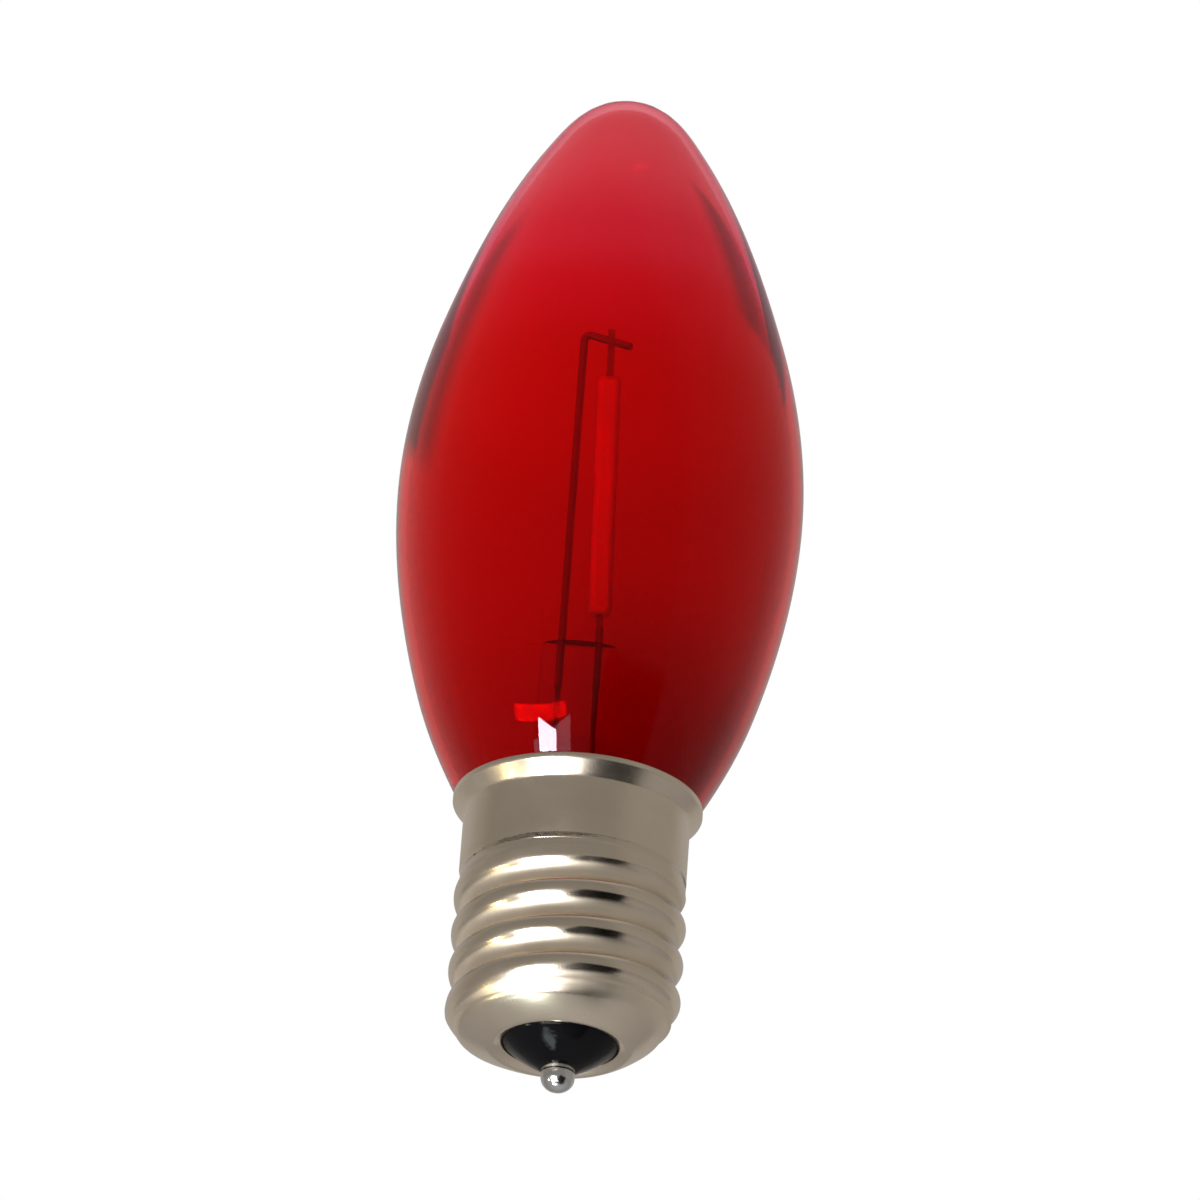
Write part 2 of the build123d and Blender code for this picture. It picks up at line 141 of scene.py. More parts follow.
def node(tree, kind, inputs=None, **settings):
    """Adds a node; each input, by name or number, is a value or the socket that feeds it."""
    made = tree.nodes.new(kind)
    for name, value in settings.items():
        setattr(made, name, value)
    for name, value in (inputs or {}).items():
        if isinstance(value, bpy.types.NodeSocket):
            tree.links.new(value, made.inputs[name])
        else:
            made.inputs[name].default_value = value
    return made


def place(tree):
    """Where a point lies on its piece."""
    return node(tree, "ShaderNodeTexCoord").outputs["Object"]


def axes(tree, vector):
    return node(tree, "ShaderNodeSeparateXYZ", {"Vector": vector}).outputs


def maths(tree, operation, *inputs):
    return node(tree, "ShaderNodeMath", dict(enumerate(inputs)), operation=operation).outputs["Value"]


def vectors(tree, operation, output, *inputs):
    made = node(tree, "ShaderNodeVectorMath", dict(enumerate(inputs)), operation=operation)
    return made.outputs[output]


def noise(tree, vector, scale, detail):
    inputs = {"Vector": vector, "Scale": scale, "Detail": detail}
    return node(tree, "ShaderNodeTexNoise", inputs).outputs["Fac"]


def ranged(tree, value, low, high, to_low=0.0, to_high=1.0, soft=True):
    """The value, between low and high, on the scale from to_low to to_high."""
    inputs = {"Value": value, "From Min": low, "From Max": high, "To Min": to_low, "To Max": to_high}
    kind = "SMOOTHSTEP" if soft else "LINEAR"
    return node(tree, "ShaderNodeMapRange", inputs, interpolation_type=kind).outputs["Result"]


def mixed(tree, factor, a, b, blend="MIX"):
    """Two colours mixed, or multiplied with blend MULTIPLY."""
    inputs = {"Factor": factor, "A": a, "B": b}
    return node(tree, "ShaderNodeMix", inputs, data_type="RGBA", blend_type=blend).outputs["Result"]


def relief(tree, height, depth, normal=None):
    """Normal of a relief that is depth millimetres deep, laid over an earlier one."""
    inputs = {"Strength": 1, "Distance": depth * MM, "Height": height}
    if normal is not None:
        inputs["Normal"] = normal
    return node(tree, "ShaderNodeBump", inputs).outputs["Normal"]


def finish(name, **settings):
    """A material with a Principled BSDF whose plain sockets are set by name, with its tree and shader."""
    material = bpy.data.materials.new(name)
    material.use_nodes = True
    shader = material.node_tree.nodes["Principled BSDF"]
    for socket, value in settings.items():
        shader.inputs[socket.replace("_", " ")].default_value = value
    return material, material.node_tree, shader


# Uneven surface: soft patches of two tones and of gloss, with fine pits, as on any handled thing.
patches = bpy.data.node_groups.new("uneven_surface", "ShaderNodeTree")
for label, kind, value in (
    ("Place", "NodeSocketVector", None),
    ("Patch Scale", "NodeSocketFloat", 300.0),
    ("Pit Scale", "NodeSocketFloat", 2500.0),
    ("Tone A", "NodeSocketColor", (0.5, 0.5, 0.5, 1)),
    ("Tone B", "NodeSocketColor", (0.6, 0.6, 0.6, 1)),
    ("Gloss Low", "NodeSocketFloat", 0.2),
    ("Gloss High", "NodeSocketFloat", 0.3),
):
    socket = patches.interface.new_socket(label, in_out="INPUT", socket_type=kind)
    if value is not None:
        socket.default_value = value
for label, kind in (("Color", "NodeSocketColor"), ("Roughness", "NodeSocketFloat"), ("Height", "NodeSocketFloat")):
    patches.interface.new_socket(label, in_out="OUTPUT", socket_type=kind)
given = patches.nodes.new("NodeGroupInput").outputs
soft = noise(patches, given["Place"], given["Patch Scale"], 4)
fine = noise(patches, given["Place"], given["Pit Scale"], 2)
gloss = ranged(patches, soft, 0.35, 0.65, given["Gloss Low"], given["Gloss High"], soft=False)
tones = mixed(patches, soft, given["Tone A"], given["Tone B"])
node(patches, "NodeGroupOutput", {"Color": tones, "Roughness": gloss, "Height": fine})


def surface(name, tone_a, tone_b, gloss, patch=300.0, pit=2500.0, depth=0.02, **settings):
    """A material whose colour, gloss and relief come from the uneven surface."""
    material, tree, shader = finish(name, **settings)
    inputs = {
        "Place": place(tree),
        "Patch Scale": patch,
        "Pit Scale": pit,
        "Tone A": (*tone_a, 1),
        "Tone B": (*tone_b, 1),
        "Gloss Low": gloss[0],
        "Gloss High": gloss[1],
    }
    uneven = node(tree, "ShaderNodeGroup", inputs, node_tree=patches).outputs
    tree.links.new(uneven["Color"], shader.inputs["Base Color"])
    tree.links.new(uneven["Roughness"], shader.inputs["Roughness"])
    tree.links.new(relief(tree, uneven["Height"], depth), shader.inputs["Normal"])
    return material


def floor_height(radius):
    return FLOOR_CENTRE - math.sqrt(FLOOR_RADIUS**2 - radius**2)


def shell_outside():
    """Profile of the outside of the shell from the hole in its floor to its lip, thread left out."""
    wall = ROOT - RELIEF
    centre_r = wall - SHOULDER
    centre_z = FLOOR_CENTRE - math.sqrt((FLOOR_RADIUS - SHOULDER) ** 2 - centre_r**2)
    touch = math.degrees(math.atan2(centre_z - FLOOR_CENTRE, centre_r))
    turn = Vector((FLOOR_TURN, floor_height(FLOOR_TURN)))
    start = turn.lerp(Vector((HOLE, HOLE_EDGE)), TURN_START)
    end = Vector((FLOOR_TURN + TURN_REACH, floor_height(FLOOR_TURN + TURN_REACH)))
    points = [(HOLE, HOLE_EDGE), (HOLE + HOLE_LIP[0], HOLE_EDGE + HOLE_LIP[1])]
    for i in range(7):
        share = i / 6
        points.append(tuple(start.lerp(turn, share).lerp(turn.lerp(end, share), share)))
    after_turn = math.degrees(math.atan2(end.y - FLOOR_CENTRE, end.x))
    points += arc((0, FLOOR_CENTRE), FLOOR_RADIUS, after_turn, touch, 12)[1:]
    points += arc((centre_r, centre_z), SHOULDER, touch, 0, 10)[1:]
    points += spaced(points[-1], (wall, THREAD_HIGH), 66)
    points += spaced(points[-1], COLLAR, 8)
    before_waist, at_waist = [(WAIST[0] + r, WAIST[1] + z) for r, z in WAIST_TURN]
    points += spaced(points[-1], before_waist, 8) + [at_waist]
    rise, reach = RIM[1] - WAIST[1], RIM[0] - WAIST[0]
    for i in range(1, 11):
        share = i / 10
        bow = share * (1 - share)
        points.append(
            (WAIST[0] + reach * share + RIM_BOW[0] * bow, WAIST[1] + rise * (share + RIM_BOW[1] * bow))
        )
    return points + [(RIM[0] - inset, height) for inset, height in LIP]


def thread_radius(angle, height):
    """Radius of the rolled thread: knuckle arcs round a right-hand helix."""
    depth, half_pitch = CREST - ROOT, PITCH / 2
    knuckle = (half_pitch**2 + depth**2) / (2 * depth) / 2
    turn = ((height - CREST_HEIGHT) / PITCH - angle / math.tau) % 1
    if turn < 0.25 or turn > 0.75:
        away = min(turn, 1 - turn) * PITCH
        return CREST - knuckle + math.sqrt(knuckle**2 - away**2)
    away = (turn - 0.5) * PITCH
    return ROOT + knuckle - math.sqrt(knuckle**2 - away**2)


def run_out(height, bearing):
    """Radius that the thread stays within as it runs out at both ends, later on top at the front."""
    inner, outer = ROOT - RELIEF - 1, CREST + RELIEF
    low = (height - (THREAD_LOW - FADE)) / (1.5 * FADE)
    high = (THREAD_HIGH + FADE - height) / (1.5 * FADE)
    limit = inner + (outer - inner) * clamped(min(low, high))
    if height > LATE_ABOVE:
        start, start_spread, end, end_spread = LATE_RUN_OUT
        limit += clamped(min((bearing - start) / start_spread, (end - bearing) / end_spread)) * (outer - limit)
    return limit


def eased(a, b, blend, sign):
    """The larger (sign 1) or smaller (sign -1) of two radii, with a soft change-over."""
    near = max(blend - abs(a - b), 0) / blend
    return (max(a, b) if sign > 0 else min(a, b)) + sign * near * near * blend / 4


def filled(angle, height, radius):
    """Radius with the groove above the last crest filled softly up to the collar."""
    bearing = math.degrees(angle)
    turns, share, spread = 3, 1.0, 180 - LAST_TURN_END
    if bearing > LAST_TURN_END:
        turns, share = 2, FILLED_BEHIND * (bearing - LAST_TURN_END) / spread
    elif bearing < -LAST_TURN_END:
        share = FILLED_BEHIND + (1 - FILLED_BEHIND) * (bearing + 180) / spread
    line = CREST_HEIGHT + PITCH * (turns + angle / math.tau)
    if bearing <= LAST_TURN_END and height > line - PITCH / 2:
        low_crest = clamped((bearing - LOW_CREST[0]) / LOW_CREST[1])
        radius += low_crest * (eased(radius, COLLAR[0] + LAST_CREST_RISE, CAP_BLEND, -1) - radius)
    share *= smooth((height - line + FILL_START * PITCH) / (FILL_REACH * PITCH))
    return radius + share * (eased(radius, COLLAR[0], FILL_BLEND, 1) - radius)


def leaned(bm):
    """Lowers the shoulder of the floor a little on one side."""
    for v in bm.verts:
        height, radius = v.co.z / MM, math.hypot(v.co.x, v.co.y) / MM
        low = smooth((LEAN_HEIGHT - height) / LEAN_FADE)
        out = clamped((radius - LEAN_INSIDE) / LEAN_SPREAD)
        side = v.co.x / MM / LEAN_REACH * low * out
        v.co.z += LEAN_DROP * side * MM
        v.co.x *= 1 - LEAN_PULL * side
        v.co.y *= 1 - LEAN_PULL * side


outside = shell_outside()
sheet_bm = turned(outside + list(reversed(moved_in(outside, SHEET))), steps=240)
for v in sheet_bm.verts:
    height, radius = v.co.z / MM, math.hypot(v.co.x, v.co.y) / MM
    if THREAD_LOW - FADE < height < THREAD_HIGH + FADE and radius > FLOOR_INSIDE:
        plain = radius if radius > OUTER_FACE else radius + SHEET
        angle = math.atan2(v.co.y, v.co.x)
        limit = run_out(height, math.degrees(angle))
        threaded = filled(angle, height, eased(thread_radius(angle, height), limit, RUN_OUT_BLEND, -1))
        grown = radius + max(0.0, eased(plain, threaded, FOOT_BLEND, 1) - plain)
        v.co.x, v.co.y = v.co.x * grown / radius, v.co.y * grown / radius
leaned(sheet_bm)

nickel = surface(
    "nickel_plate",
    (0.76, 0.655, 0.525),
    (0.85, 0.75, 0.62),
    (0.14, 0.22),
    patch=260,
    pit=5200,
    depth=0.003,
    Metallic=1,
)
# The plating is glossier on the floor, and duller in the grooves and on the last turn. Fine lines
# run round it, and it has faint dents.
GLOSS_BANDS = ((5.2, 4.2, -0.2), (13.6, 14.8, 0.08))  # heights, and the roughness that they add
GROOVES = (7.95, 7.7, 0.26)  # radii, and the roughness that they add
RELIEFS = (("lines", 4500, 3, 0.0012), ("dents", 240, 1, 0.035))  # scale, detail and depth
tree = nickel.node_tree
shader = tree.nodes["Principled BSDF"]
where = place(tree)
upwards = axes(tree, where)["Z"]
rough = shader.inputs["Roughness"].links[0].from_socket
for start, end, added in GLOSS_BANDS:
    rough = maths(tree, "ADD", ranged(tree, upwards, start * MM, end * MM, 0, added), rough)
across = vectors(tree, "MULTIPLY", "Vector", where, (1, 1, 0))
from_axis = vectors(tree, "LENGTH", "Value", across)
start, end, added = GROOVES
rough = maths(tree, "ADD", ranged(tree, from_axis, start * MM, end * MM, 0, added), rough)
tree.links.new(rough, shader.inputs["Roughness"])
drawn_out = vectors(tree, "MULTIPLY", "Vector", where, (0.04, 0.04, 1))
normal = shader.inputs["Normal"].links[0].from_socket
for name, scale, detail, depth in RELIEFS:
    texture = noise(tree, drawn_out if name == "lines" else where, scale, detail)
    normal = relief(tree, texture, depth, normal)
tree.links.new(normal, shader.inputs["Normal"])
shell = piece("screw_shell_sheet", sheet_bm, nickel, "screw_shell")

# Base insulator. Glossy black glass poured into the bottom of the shell and drawn down through the
# hole in its floor to a blunt nose, with the centre contact's eyelet through it.

NOSE = (1.3, 1.7)
NOSE_BULGE, NOSE_OUT = 0.12, (0.57, -0.82)
EYELET = 0.8
BLACK_RADIUS, BLACK_FOOT, BLACK_TOP = 6.85, 6.0, 6.4

nose_side = [NOSE]
for i in range(1, 13):
    share = i / 12
    bulge = NOSE_BULGE * 4 * share * (1 - share)
    radius = NOSE[0] + (HOLE - NOSE[0]) * share + bulge * NOSE_OUT[0]
    nose_side.append((radius, NOSE[1] + (HOLE_EDGE - NOSE[1]) * share + bulge * NOSE_OUT[1]))
inner_floor = [(r, z) for r, z in moved_in(outside, SHEET) if HOLE < r < BLACK_RADIUS - 0.05 and z < 8]
black = [(EYELET, NOSE[1])] + nose_side + [(HOLE, HOLE_EDGE + 0.2)] + inner_floor[1:]
black += [(BLACK_RADIUS, BLACK_FOOT), (BLACK_RADIUS, BLACK_TOP), (EYELET, BLACK_TOP)]
black_bm = turned(black, steps=160)
leaned(black_bm)
black_glass = surface(
    "black_base_glass",
    (0.0015, 0.0015, 0.002),
    (0.004, 0.004, 0.005),
    (0.05, 0.12),
    patch=500,
    pit=1500,
    IOR=1.5,
    Specular_IOR_Level=0.12,
)
insulator = piece("black_glass_insulator", black_bm, black_glass, "base_insulator")

# Centre contact. A thin plated eyelet carries the lead through the insulator, and a bead of solder
# closes its end and rounds off the tip of the base.

BEAD, BEAD_BELLY, BEAD_SIDE = 1.2, 1.05, (1.15, 1.3, 1.45)
PLUG, PLUG_TOP = 0.5, 2.6


def dress(material, *names):
    """Gives CAD nodes a material."""
    for name in names:
        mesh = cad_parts[name].data
        mesh.materials.clear()
        mesh.materials.append(material)


bead = [(0, 0)]
for degrees in range(-84, 1, 6):
    a = math.radians(degrees)
    bead.append((BEAD * math.cos(a), BEAD_BELLY + BEAD_BELLY * math.sin(a)))
bead += [(BEAD, height) for height in BEAD_SIDE]
bead += [(PLUG, BEAD_SIDE[-1]), (PLUG, PLUG_TOP), (0, PLUG_TOP)]
bead_bm = turned(bead, steps=96, closed=False)
solder = surface(
    "bright_solder",
    (0.66, 0.66, 0.67),
    (0.74, 0.74, 0.74),
    (0.1, 0.22),
    patch=900,
    pit=1800,
    depth=0.03,
    Metallic=1,
)
tip = piece("solder_bead", bead_bm, solder, "centre_solder")
plated = surface("plated_eyelet", (0.5, 0.49, 0.48), (0.58, 0.57, 0.55), (0.2, 0.3), depth=0.004, Metallic=1)
dress(plated, "centre_contact")

# Drive board. A small green laminate disc with a moulded rectifier, two resistors and a ceramic
# capacitor. It lies on the insulator and is soldered to the leads, hidden in the base.

laminate = surface("green_laminate", (0.03, 0.16, 0.06), (0.04, 0.2, 0.08), (0.35, 0.5), depth=0.01)
dress(laminate, "driver_board")
moulding = surface("black_moulding", (0.02, 0.02, 0.022), (0.03, 0.03, 0.03), (0.4, 0.6), depth=0.01)
dress(moulding, "bridge_rectifier", "series_resistors")
ceramic = surface("tan_ceramic", (0.5, 0.38, 0.26), (0.58, 0.46, 0.32), (0.4, 0.55), depth=0.01)
dress(ceramic, "smoothing_capacitor")
dress(solder, "board_solder_joints", "shell_solder")
lead = surface("tinned_lead", (0.62, 0.5, 0.42), (0.7, 0.6, 0.52), (0.25, 0.4), depth=0.004, Metallic=1)
dress(lead, "centre_lead", "shell_lead")

# Base cement. A ring of pale baked cement between the neck of the glass and the collar. It holds
# the two together and can't be seen.

cement = surface(
    "lamp_cement", (0.6, 0.54, 0.44), (0.72, 0.66, 0.56), (0.7, 0.9), patch=900, pit=4000, depth=0.06
)
dress(cement, "base_cement")

# Stem. Clear glass tube, flared at its foot and fused to the neck of the envelope, and pressed flat
# round the wires at its top.

NECK, NECK_FOOT, NECK_TOP = 6.6, 14.6, 17.6
STEM_FOOT, STEM_WALL = 14.0, 0.6
FLARE, FLARE_ROUND = (5.6, 17.0), 2.4  # centre of the flare's curve, and its outer radius
TUBE, TUBE_TOP, CONE = 3.2, 24.5, 3.0
CONE_END = (5.4, 2.3)
PINCH = ((28.5, 5.4, 2.1), (31.0, 5.4, 2.1), (33.9, 5.36, 2.1), (34.2, 5.1, 1.9), (34.3, 4.6, 1.4))
MOUNT_X, WIRE_Y = -0.69, -0.3  # the middle of the two support wires
TUBE_END = ((25.0, 4.4, 4.2, 0.2), (25.4, 2.4, 2.0, 0.4))  # the bore's last rings, and their shift


def stem_section(height, width, thickness, centre_x=0, centre_y=0, steps=64):
    """One ring of the stem, going from round to flattened."""
    ring = []
    for i in range(steps):
        turn = math.tau * i / steps
        x, y = centre_x + width / 2 * math.cos(turn), centre_y + thickness / 2 * math.sin(turn)
        ring.append(Vector((x * MM, y * MM, height * MM)))
    return ring


def skinned(bm, sections):
    """Skins rings of vertices with bridged loops, and closes the last ring."""
    last = None
    for section in sections:
        ring = [bm.verts.new(point) for point in section]
        edges = [bm.edges.new((ring[i], ring[i - 1])) for i in range(len(ring))]
        if last:
            bmesh.ops.bridge_loops(bm, edges=last + edges)
        last = edges
    bmesh.ops.contextual_create(bm, geom=last)
    bmesh.ops.triangulate(bm, faces=[f for f in bm.faces if len(f.verts) > 4])


def flare_and_tube(curve, tube):
    """Rings of the flare's curve and of the straight tube above it."""
    rings = [stem_section(z, 2 * r, 2 * r) for r, z in arc(FLARE, curve, 270, 180, 12)[1:]]
    reach = TUBE_TOP - FLARE[1]
    return rings + [stem_section(FLARE[1] + reach * i / 4, 2 * tube, 2 * tube) for i in range(1, 5)]


foot = [(FLARE[0], STEM_FOOT), (NECK, STEM_FOOT), (NECK, NECK_FOOT), (FLARE[0], NECK_FOOT)]
stem_outside = [stem_section(z, 2 * r, 2 * r) for r, z in foot] + flare_and_tube(FLARE_ROUND, TUBE)
for i in range(1, 9):
    flat = smooth(i / 8)
    width, thickness = [2 * TUBE + (size - 2 * TUBE) * flat for size in CONE_END]
    stem_outside.append(stem_section(TUBE_TOP + CONE * i / 8, width, thickness, MOUNT_X * flat, WIRE_Y * flat))
stem_outside += [stem_section(z, width, thickness, MOUNT_X, WIRE_Y) for z, width, thickness in PINCH]
stem_inside = [stem_section(STEM_FOOT, 2 * FLARE[0], 2 * FLARE[0])]
stem_inside += flare_and_tube(FLARE_ROUND + STEM_WALL, TUBE - STEM_WALL)
stem_inside += [stem_section(z, width, thickness, MOUNT_X * shift) for z, width, thickness, shift in TUBE_END]
stem_bm = bmesh.new()
skinned(stem_bm, stem_outside)
skinned(stem_bm, stem_inside)
bmesh.ops.remove_doubles(stem_bm, verts=stem_bm.verts, dist=0.001 * MM)
bmesh.ops.recalc_face_normals(stem_bm, faces=stem_bm.faces)
clear, tree, shader = finish(
    "clear_stem_glass", Base_Color=(0.97, 0.97, 0.97, 1), Roughness=0.0, IOR=1.12, Transmission_Weight=1.0
)
waves = noise(tree, place(tree), 180, 1)
tree.links.new(relief(tree, waves, 0.02), shader.inputs["Normal"])
stem = piece("stem_glass", stem_bm, clear, "glass_stem")

# Wires. Plated support wires come up out of the pinch: the long one is hooked over in front of the
# filament's upper tab, and the short one carries the lower tab.

wire_metal = surface("support_wire", (0.42, 0.4, 0.38), (0.5, 0.48, 0.45), (0.3, 0.45), depth=0.01, Metallic=1)
dress(wire_metal, "long_lead_wire", "short_lead_wire")

# Filament. Light-emitting chips on a rigid white strip inside a yellow silicone coat that tapers at
# both ends, with a flat metal tab out of each end that is welded to a wire.

strip = surface("white_strip", (0.8, 0.8, 0.76), (0.86, 0.86, 0.82), (0.4, 0.5), depth=0.004)
dress(strip, "filament_strip")
chip = surface("chip", (0.7, 0.62, 0.3), (0.8, 0.7, 0.36), (0.2, 0.3), depth=0.002)
dress(chip, "led_chips")
tab = surface("tab_sheet", (0.5, 0.48, 0.44), (0.58, 0.56, 0.52), (0.25, 0.4), depth=0.004, Metallic=1)
dress(tab, "lower_terminal", "upper_terminal")
silicone = surface("yellow_silicone", (0.99, 0.78, 0.26), (0.99, 0.86, 0.36), (0.3, 0.45), patch=700, pit=3000)
dress(silicone, "phosphor_coat")

# Envelope. Clear red glass, blown to a flame shape with a rounded tip, its neck fused to the stem and
# cemented into the collar. Its colour is paler at the tip, with painted light on the left and painted shade
# darkest low on the right.

GLASS_WALL = 0.7
GLASS_PLACES = [  # radius, height, and slope from the axis in degrees
    (6.6, 18.3, 0),
    (6.75, 19.12, 27.5),
    (8.45, 22.2, 28.5),
    (11.88, 30.05, 16.7),
    (14.2975, 45.0, 0),
    (12.1, 58.0, -18.0),
    (5.85, 72.1, -33),
    (3.35, 75.3, -50),
    (0, 76.6, -90),
]
COLOUR_LOW, COLOUR_HIGH = 20, 76
GLASS_COLOURS = [  # by height
    (22, (0.46, 0.000, 0.000)),
    (34, (0.57, 0.000, 0.000)),
    (50, (0.625, 0.000, 0.001)),
    (57, (0.69, 0.006, 0.03)),
    (62, (0.72, 0.05, 0.10)),
    (69, (0.79, 0.14, 0.18)),
]
BRIGHTNESS, PATCHINESS = 0.93, 0.12
PAINTED_SIDE_LIGHT = (-14, 14, 0.13, -0.15)  # places across, and the painted light (left) and painted shade (right) that they add
# Painted shade: heights and places across over which the glass is painted darker low on the right, and by how
# much.
PAINTED_SHADE_LOW, PAINTED_SHADE_RIGHT, PAINTED_SHADE_DEPTH = (37, 25), (-5, 3), -0.3


def glass_profile(inset):
    """Smooth profile from the neck's foot through the envelope's places to its tip, moved in by inset."""
    places = []
    for radius, height, slope in GLASS_PLACES:
        along = Vector((math.sin(math.radians(slope)), math.cos(math.radians(slope))))
        places.append((Vector((radius - inset * along.y, height + inset * along.x)), along))
    foot = (NECK - inset, NECK_FOOT)
    points = [foot] + spaced(foot, (NECK - inset, NECK_TOP), 4)
    for (p, t), (q, u) in zip(places, places[1:]):
        reach = (q - p).length
        steps = max(4, round(reach / 0.9))
        for i in range(steps):
            s = i / steps
            h = (2 * s**3 - 3 * s**2 + 1) * p + (s**3 - 2 * s**2 + s) * reach * t
            h += (3 * s**2 - 2 * s**3) * q + (s**3 - s**2) * reach * u
            points.append((max(h.x, 0), h.y))
    points.append((0, places[-1][0].y))
    return points


def ramp(tree, share, stops):
    """Colour that eases from stop to stop, each a place from 0 to 1 and a colour."""
    made = node(tree, "ShaderNodeValToRGB", {"Fac": share})
    made.color_ramp.interpolation = "EASE"
    elements = made.color_ramp.elements
    for i, (stop, colour) in enumerate(stops):
        if i < 2:
            elements[i].position = stop
        element = elements[i] if i < 2 else elements.new(stop)
        element.color = (*colour, 1)
    return made.outputs["Color"]


envelope_bm = turned(glass_profile(0) + list(reversed(glass_profile(GLASS_WALL))), steps=224)
red, tree, shader = finish(
    "red_glass",
    Roughness=0.0,
    IOR=1.5,
    Transmission_Weight=1.0,
    Specular_Tint=(0.26, 0.2, 0.24, 1),
    Specular_IOR_Level=0.4,
)
where = place(tree)
along = axes(tree, where)
share_up = ranged(tree, along["Z"], COLOUR_LOW * MM, COLOUR_HIGH * MM, soft=False)
reach = COLOUR_HIGH - COLOUR_LOW
layer = ramp(tree, share_up, [((height - COLOUR_LOW) / reach, colour) for height, colour in GLASS_COLOURS])
# Painted light and shade across the red glass: lighter on the left, darker on the right.
left, right, light_on_left, shade_on_right = PAINTED_SIDE_LIGHT
painted_side_light = ranged(tree, along["X"], left * MM, right * MM, light_on_left, shade_on_right, soft=False)
# Random patches of tone, with the painted side light added.
uneven = maths(tree, "MULTIPLY_ADD", noise(tree, where, 38, 2), PATCHINESS, painted_side_light)
strength = maths(tree, "ADD", uneven, BRIGHTNESS)
# Painted shade low on the right of the glass, multiplied into its colour.
low = ranged(tree, along["Z"], PAINTED_SHADE_LOW[0] * MM, PAINTED_SHADE_LOW[1] * MM)
painted_shade_across = ranged(tree, along["X"], PAINTED_SHADE_RIGHT[0] * MM, PAINTED_SHADE_RIGHT[1] * MM, 0, PAINTED_SHADE_DEPTH)
tone_with_painted_shade = maths(tree, "MULTIPLY_ADD", low, painted_shade_across, strength)
tree.links.new(mixed(tree, 1, layer, tone_with_painted_shade, "MULTIPLY"), shader.inputs["Base Color"])
tree.links.new(relief(tree, noise(tree, where, 60, 1), 0.03), shader.inputs["Normal"])
envelope = piece("red_envelope", envelope_bm, red, "glass_envelope")

# Studio. A pale floor far below the held lamp and a white surround, with soft lamps low on the left
# and above, and with dark and pale cards that the plating reflects. Two dark cards and a bright strip
# close to the lamp are seen only through its glass: they darken its edges and light up its neck.

CENTRE = Vector((0, 0, 0.038))
FLOOR_DROP, FLOOR_SIZE = 1.4, 6
NEAR_LEFT, NEAR_RIGHT = Vector((-12, 3, 60)) * MM, Vector((12, 3, 60)) * MM
NEAR_NECK = Vector((-3.2, -8.9, 24.9)) * MM
DUSK, GLOW = (0.2, 0.15, 0.19), (300, 300, 300)
through = ("transmission",)


def direction(azimuth, elevation):
    """Unit vector from the lamp: azimuth 0 is the camera's side, positive to the right."""
    a, e = math.radians(azimuth), math.radians(elevation)
    return Vector((math.sin(a) * math.cos(e), -math.cos(a) * math.cos(e), math.sin(e)))


def facing_back(towards, roll):
    """Rotation that turns a flat thing's back to the lamp, rolled by some degrees."""
    return towards.to_track_quat("Z", "Y").to_matrix() @ Matrix.Rotation(math.radians(roll), 3, "Z")


def soft_lamp(
    name, azimuth, elevation, distance, width, height, power, colour=(1, 1, 1), roll=0, reflected=True
):
    """Area lamp that isn't seen through the glass."""
    data = bpy.data.lights.new(name, "AREA")
    data.shape = "RECTANGLE"
    data.size, data.size_y = width, height
    data.energy = power
    data.color = colour
    lamp = bpy.data.objects.new(name, data)
    towards = direction(azimuth, elevation)
    lamp.location = CENTRE + towards * distance
    lamp.rotation_euler = facing_back(towards, roll).to_euler()
    lamp.visible_transmission = False
    lamp.visible_glossy = reflected
    bpy.context.scene.collection.objects.link(lamp)


def card(
    name,
    azimuth,
    elevation,
    distance,
    width,
    height,
    tone,
    softness,
    seen_in=("glossy",),
    around=CENTRE,
    roll=0,
):
    """Card with soft edges, seen only in reflections, or only through glass, or both."""
    bm = bmesh.new()
    bm.loops.layers.uv.new("place")
    bmesh.ops.create_grid(bm, x_segments=1, y_segments=1, size=0.5, calc_uvs=True)
    bmesh.ops.scale(bm, verts=bm.verts, vec=(width, height, 1))
    towards = direction(azimuth, elevation)
    stand = Matrix.Translation(around + towards * distance) @ facing_back(towards, roll).to_4x4()
    bmesh.ops.transform(bm, verts=bm.verts, matrix=stand)
    mesh = bpy.data.meshes.new(name)
    bm.to_mesh(mesh)
    bm.free()
    material = bpy.data.materials.new(name)
    material.use_nodes = True
    tree = material.node_tree
    tree.nodes.clear()
    across = axes(tree, node(tree, "ShaderNodeTexCoord").outputs["UV"])
    fades = [ranged(tree, maths(tree, "PINGPONG", across[axis], 0.5), 0, softness) for axis in "XY"]
    inputs = {
        "Fac": maths(tree, "MULTIPLY", *fades),
        1: node(tree, "ShaderNodeBsdfTransparent").outputs["BSDF"],
        2: node(tree, "ShaderNodeEmission", {"Color": (*tone, 1)}).outputs["Emission"],
    }
    blend = node(tree, "ShaderNodeMixShader", inputs).outputs["Shader"]
    node(tree, "ShaderNodeOutputMaterial", {"Surface": blend})
    mesh.materials.append(material)
    made = bpy.data.objects.new(name, mesh)
    made.visible_camera = False
    made.visible_diffuse = False
    made.visible_glossy = "glossy" in seen_in
    made.visible_transmission = "transmission" in seen_in
    made.visible_shadow = False
    bpy.context.scene.collection.objects.link(made)


floor_material, tree, shader = finish("studio_floor", Base_Color=(0.86, 0.86, 0.86, 1), Roughness=0.8)
floor_bm = bmesh.new()
bmesh.ops.create_grid(floor_bm, x_segments=2, y_segments=2, size=FLOOR_SIZE)
bmesh.ops.translate(floor_bm, verts=floor_bm.verts, vec=(0, 0, -FLOOR_DROP))
floor_mesh = bpy.data.meshes.new("studio_floor")
floor_bm.to_mesh(floor_mesh)
floor_bm.free()
floor_mesh.materials.append(floor_material)
floor = bpy.data.objects.new("studio_floor", floor_mesh)
bpy.context.scene.collection.objects.link(floor)

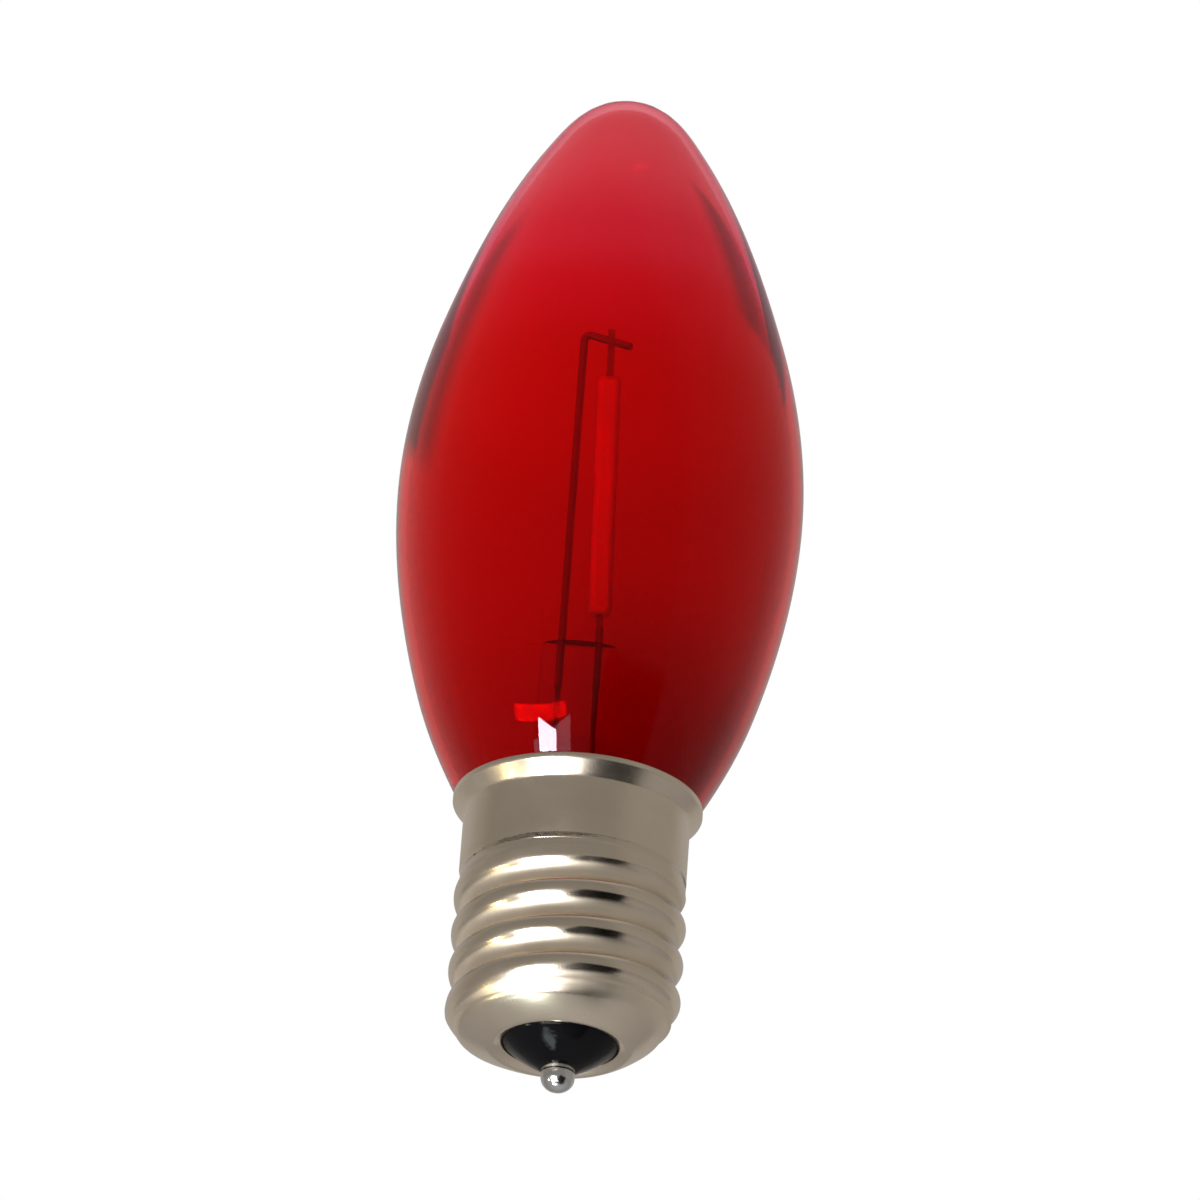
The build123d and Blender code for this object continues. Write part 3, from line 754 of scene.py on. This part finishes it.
soft_lamp("low_left_softbox", -29, -46, 0.8, 0.44, 0.5, 3.2)
soft_lamp("low_left_lamp", -33, -31, 0.7, 0.17, 0.085, 5, roll=-16)
soft_lamp("side_lamp", -77, -36, 0.8, 0.04, 0.08, 0.5, (1, 0.84, 0.45))
soft_lamp("ceiling_softbox", 175, 78, 1.0, 0.9, 0.9, 7, reflected=False)
card("dark_card_low_right", 34, -45, 0.8, 0.8, 1.1, (0, 0, 0), 0.12)
card("pale_card_below", -78, -76, 0.5, 0.14, 0.18, (6, 7, 6.6), 0.3)
card("dark_card_back_left", -155, 28, 0.0906, 0.061, 0.029, DUSK, 0.17, through, NEAR_LEFT)
card("dark_card_back_right", 156, 34, 0.097, 0.066, 0.016, DUSK, 0.15, through, NEAR_RIGHT)
card("strip_glow", -39, -24.5, 0.06, 0.052, 0.0042, GLOW, 0.12, through, NEAR_NECK, roll=-8.5)

world = bpy.data.worlds.new("studio_surround")
bpy.context.scene.world = world
world.use_nodes = True
tree = world.node_tree
tree.nodes.clear()
outwards = node(tree, "ShaderNodeTexCoord").outputs["Generated"]
parts = axes(tree, outwards)


def by_height(tones):
    """Brightness of the surround by elevation in degrees."""
    stops = [((math.sin(math.radians(elevation)) + 1) / 2, tone) for elevation, tone in tones]
    return ramp(tree, ranged(tree, parts["Z"], -1, 1, soft=False), stops)


room = by_height(
    [
        (-90, (0.30, 0.28, 0.25)),
        (-52, (0.36, 0.34, 0.30)),
        (-15, (0.30, 0.285, 0.26)),
        (29, (0.29, 0.275, 0.25)),
        (39, (0.27, 0.26, 0.24)),
        (54, (0.27, 0.26, 0.25)),
        (72, (0.42, 0.40, 0.40)),
        (90, (0.55, 0.52, 0.5)),
    ]
)
backdrop = by_height(
    [
        (-90, (0.30, 0.28, 0.25)),
        (-60, (0.42, 0.40, 0.37)),
        (26, (0.42, 0.40, 0.38)),
        (34, (0.36, 0.34, 0.36)),
        (43, (0.10, 0.09, 0.10)),
        (54, (0.09, 0.08, 0.09)),
        (72, (0.42, 0.40, 0.42)),
        (90, (0.55, 0.52, 0.5)),
    ]
)
# The room is dimmer on the camera's left, the backdrop stands behind the lamp, and both are white
# to the camera and through the glass.
behind = ranged(tree, parts["Y"], 0.35, 0.75)
to_front_left = vectors(tree, "DOT_PRODUCT", "Value", outwards, (-0.47, -0.88, 0))
dimmer = ranged(tree, to_front_left, 0.1, 0.35, 1.08, 0.86)
studio = mixed(tree, behind, mixed(tree, 1, room, dimmer, "MULTIPLY"), backdrop)
path = node(tree, "ShaderNodeLightPath").outputs
seen = maths(tree, "MAXIMUM", path["Is Camera Ray"], path["Is Transmission Ray"])
surround = node(tree, "ShaderNodeBackground", {"Color": mixed(tree, seen, studio, (1, 1, 1, 1))})
node(tree, "ShaderNodeOutputWorld", {"Surface": surround.outputs["Background"]})

# Camera. A long lens from below, looking up at the lamp, which leans a little to the right in the
# picture. The scale is in pixels of a picture 1200 pixels wide.

DISTANCE, ELEVATION, LEAN = 2400.0, 25.0, 4.27
SCALE, PICTURE, SENSOR = 14.2, 1200, 36
LOOK_AT, OFF_CENTRE = Vector((0, 0, 45.8)), (0.8, 100)
e, lean = math.radians(ELEVATION), math.radians(LEAN)
forward = Vector((0, math.cos(e), math.sin(e)))
level_right, level_up = Vector((1, 0, 0)), Vector((0, -math.sin(e), math.cos(e)))
right = level_right * math.cos(lean) + level_up * math.sin(lean)
up = level_up * math.cos(lean) - level_right * math.sin(lean)
middle = LOOK_AT - right * (OFF_CENTRE[0] / SCALE) - up * (OFF_CENTRE[1] / SCALE)
turn = Matrix((right, up, -forward)).transposed()
camera_data = bpy.data.cameras.new("camera")
camera_data.lens = SENSOR * DISTANCE * SCALE / PICTURE
camera_data.clip_start, camera_data.clip_end = 0.05, 50
camera = bpy.data.objects.new("camera", camera_data)
camera.matrix_world = Matrix.Translation((middle - forward * DISTANCE) * MM) @ turn.to_4x4()
bpy.context.scene.collection.objects.link(camera)
bpy.context.scene.camera = camera

bpy.context.scene.view_settings.view_transform = "Standard"
